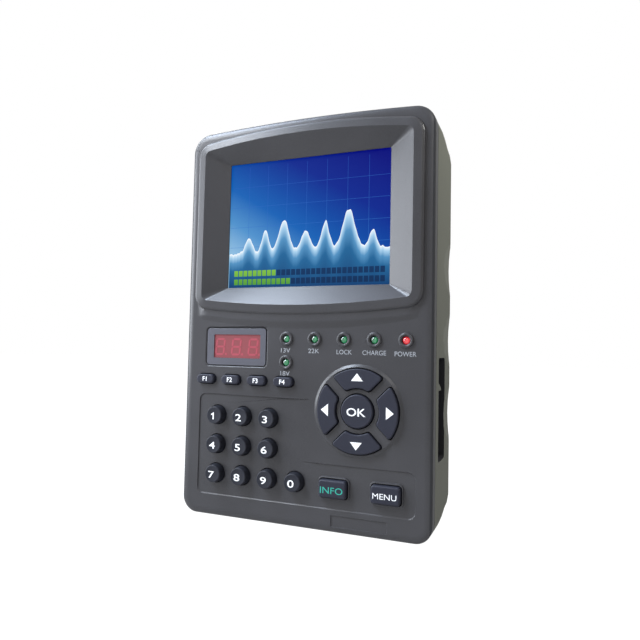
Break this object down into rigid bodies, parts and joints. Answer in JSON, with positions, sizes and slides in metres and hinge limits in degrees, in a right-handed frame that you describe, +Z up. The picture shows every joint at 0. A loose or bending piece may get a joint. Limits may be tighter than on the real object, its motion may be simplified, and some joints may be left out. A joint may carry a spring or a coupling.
{
  "type": "satellite signal meter",
  "caption": "Handheld satellite signal meter in dark grey, with a colour screen, red digit read-out, signal lamps, number keys, arrow pad and a side bay for its jacks",
  "frame": {"origin": "middle of the standing instrument's box, on the surface it stands on", "axes": "+X to the right seen from the front, +Y from the front face to the back, +Z up along the instrument's height"},
  "size_m": [0.105, 0.0428, 0.1711],
  "materials": {
    "front_paint": "satin dark grey paint with a fine sandy grain",
    "rear_paint": "satin dark grey with an olive cast, fine grain",
    "key_rubber": "dark blue-grey silicone keys with white legends",
    "screen": "lit colour screen behind a smooth pane",
    "readout_lens": "clear flat window over red digits",
    "red_digits": "red seven-segment digits in a grey-red face",
    "green_lamp": "clear green dome",
    "red_lamp": "lit red dome",
    "circuit_board": "green solder mask on glass-fibre board",
    "tin_plate": "tinned sheet steel",
    "nickel_plate": "nickel-plated brass",
    "black_plastic": "black moulded plastic",
    "screw_steel": "zinc-plated steel",
    "battery_wrap": "blue shrink sleeve"
  },
  "bodies": {
    "root": {"front_cover": "front_paint", "rear_cover": "rear_paint", "screen_glass": "screen", "screen_tray": "tin_plate", "readout_window": "readout_lens", "digit_block": "red_digits", "led_13v": "green_lamp", "led_22k": "green_lamp", "led_lock": "green_lamp", "led_charge": "green_lamp", "led_power": "red_lamp", "led_18v": "green_lamp", "keypad_mat": "key_rubber", "key_board": "circuit_board", "key_board_screw_1": "screw_steel", "key_board_screw_2": "screw_steel", "key_board_screw_3": "screw_steel", "main_board": "circuit_board", "main_board_screw_1": "screw_steel", "main_board_screw_2": "screw_steel", "tuner_can": "tin_plate", "aerial_connector": "nickel_plate", "speaker": "black_plastic", "battery_pack": "battery_wrap", "battery_door": "rear_paint", "door_screw_1": "screw_steel", "door_screw_2": "screw_steel", "case_screw_1": "screw_steel", "case_screw_2": "screw_steel", "case_screw_3": "screw_steel", "case_screw_4": "screw_steel", "dc_jack": "black_plastic", "av_in_jack": "black_plastic", "av_out_jack": "black_plastic", "switch_body": "tin_plate"},
    "key_1_body": {"key_1": "key_rubber"},
    "key_2_body": {"key_2": "key_rubber"},
    "key_3_body": {"key_3": "key_rubber"},
    "key_4_body": {"key_4": "key_rubber"},
    "key_5_body": {"key_5": "key_rubber"},
    "key_6_body": {"key_6": "key_rubber"},
    "key_7_body": {"key_7": "key_rubber"},
    "key_8_body": {"key_8": "key_rubber"},
    "key_9_body": {"key_9": "key_rubber"},
    "key_0_body": {"key_0": "key_rubber"},
    "key_f1_body": {"key_f1": "key_rubber"},
    "key_f2_body": {"key_f2": "key_rubber"},
    "key_f3_body": {"key_f3": "key_rubber"},
    "key_f4_body": {"key_f4": "key_rubber"},
    "key_info_body": {"key_info": "key_rubber"},
    "key_menu_body": {"key_menu": "key_rubber"},
    "nav_right_body": {"nav_right": "key_rubber"},
    "nav_up_body": {"nav_up": "key_rubber"},
    "nav_left_body": {"nav_left": "key_rubber"},
    "nav_down_body": {"nav_down": "key_rubber"},
    "key_ok_body": {"key_ok": "key_rubber"},
    "switch_knob_body": {"switch_knob": "black_plastic"}
  },
  "joints": [
    {"name": "key_1_press", "type": "slide", "parent": "root", "child": "key_1_body", "axis": [0, 1, 0], "range_m": [0, 0.0008], "stiffness_N_per_m": 600},
    {"name": "key_2_press", "type": "slide", "parent": "root", "child": "key_2_body", "axis": [0, 1, 0], "range_m": [0, 0.0008], "stiffness_N_per_m": 600},
    {"name": "key_3_press", "type": "slide", "parent": "root", "child": "key_3_body", "axis": [0, 1, 0], "range_m": [0, 0.0008], "stiffness_N_per_m": 600},
    {"name": "key_4_press", "type": "slide", "parent": "root", "child": "key_4_body", "axis": [0, 1, 0], "range_m": [0, 0.0008], "stiffness_N_per_m": 600},
    {"name": "key_5_press", "type": "slide", "parent": "root", "child": "key_5_body", "axis": [0, 1, 0], "range_m": [0, 0.0008], "stiffness_N_per_m": 600},
    {"name": "key_6_press", "type": "slide", "parent": "root", "child": "key_6_body", "axis": [0, 1, 0], "range_m": [0, 0.0008], "stiffness_N_per_m": 600},
    {"name": "key_7_press", "type": "slide", "parent": "root", "child": "key_7_body", "axis": [0, 1, 0], "range_m": [0, 0.0008], "stiffness_N_per_m": 600},
    {"name": "key_8_press", "type": "slide", "parent": "root", "child": "key_8_body", "axis": [0, 1, 0], "range_m": [0, 0.0008], "stiffness_N_per_m": 600},
    {"name": "key_9_press", "type": "slide", "parent": "root", "child": "key_9_body", "axis": [0, 1, 0], "range_m": [0, 0.0008], "stiffness_N_per_m": 600},
    {"name": "key_0_press", "type": "slide", "parent": "root", "child": "key_0_body", "axis": [0, 1, 0], "range_m": [0, 0.0008], "stiffness_N_per_m": 600},
    {"name": "key_f1_press", "type": "slide", "parent": "root", "child": "key_f1_body", "axis": [0, 1, 0], "range_m": [0, 0.0008], "stiffness_N_per_m": 600},
    {"name": "key_f2_press", "type": "slide", "parent": "root", "child": "key_f2_body", "axis": [0, 1, 0], "range_m": [0, 0.0008], "stiffness_N_per_m": 600},
    {"name": "key_f3_press", "type": "slide", "parent": "root", "child": "key_f3_body", "axis": [0, 1, 0], "range_m": [0, 0.0008], "stiffness_N_per_m": 600},
    {"name": "key_f4_press", "type": "slide", "parent": "root", "child": "key_f4_body", "axis": [0, 1, 0], "range_m": [0, 0.0008], "stiffness_N_per_m": 600},
    {"name": "key_info_press", "type": "slide", "parent": "root", "child": "key_info_body", "axis": [0, 1, 0], "range_m": [0, 0.0008], "stiffness_N_per_m": 600},
    {"name": "key_menu_press", "type": "slide", "parent": "root", "child": "key_menu_body", "axis": [0, 1, 0], "range_m": [0, 0.0008], "stiffness_N_per_m": 600},
    {"name": "nav_right_press", "type": "slide", "parent": "root", "child": "nav_right_body", "axis": [0, 1, 0], "range_m": [0, 0.0008], "stiffness_N_per_m": 600},
    {"name": "nav_up_press", "type": "slide", "parent": "root", "child": "nav_up_body", "axis": [0, 1, 0], "range_m": [0, 0.0008], "stiffness_N_per_m": 600},
    {"name": "nav_left_press", "type": "slide", "parent": "root", "child": "nav_left_body", "axis": [0, 1, 0], "range_m": [0, 0.0008], "stiffness_N_per_m": 600},
    {"name": "nav_down_press", "type": "slide", "parent": "root", "child": "nav_down_body", "axis": [0, 1, 0], "range_m": [0, 0.0008], "stiffness_N_per_m": 600},
    {"name": "key_ok_press", "type": "slide", "parent": "root", "child": "key_ok_body", "axis": [0, 1, 0], "range_m": [0, 0.0008], "stiffness_N_per_m": 600},
    {"name": "switch_slide", "type": "slide", "parent": "root", "child": "switch_knob_body", "axis": [0, 0, 1], "range_m": [0, 0.0026]}
  ]
}
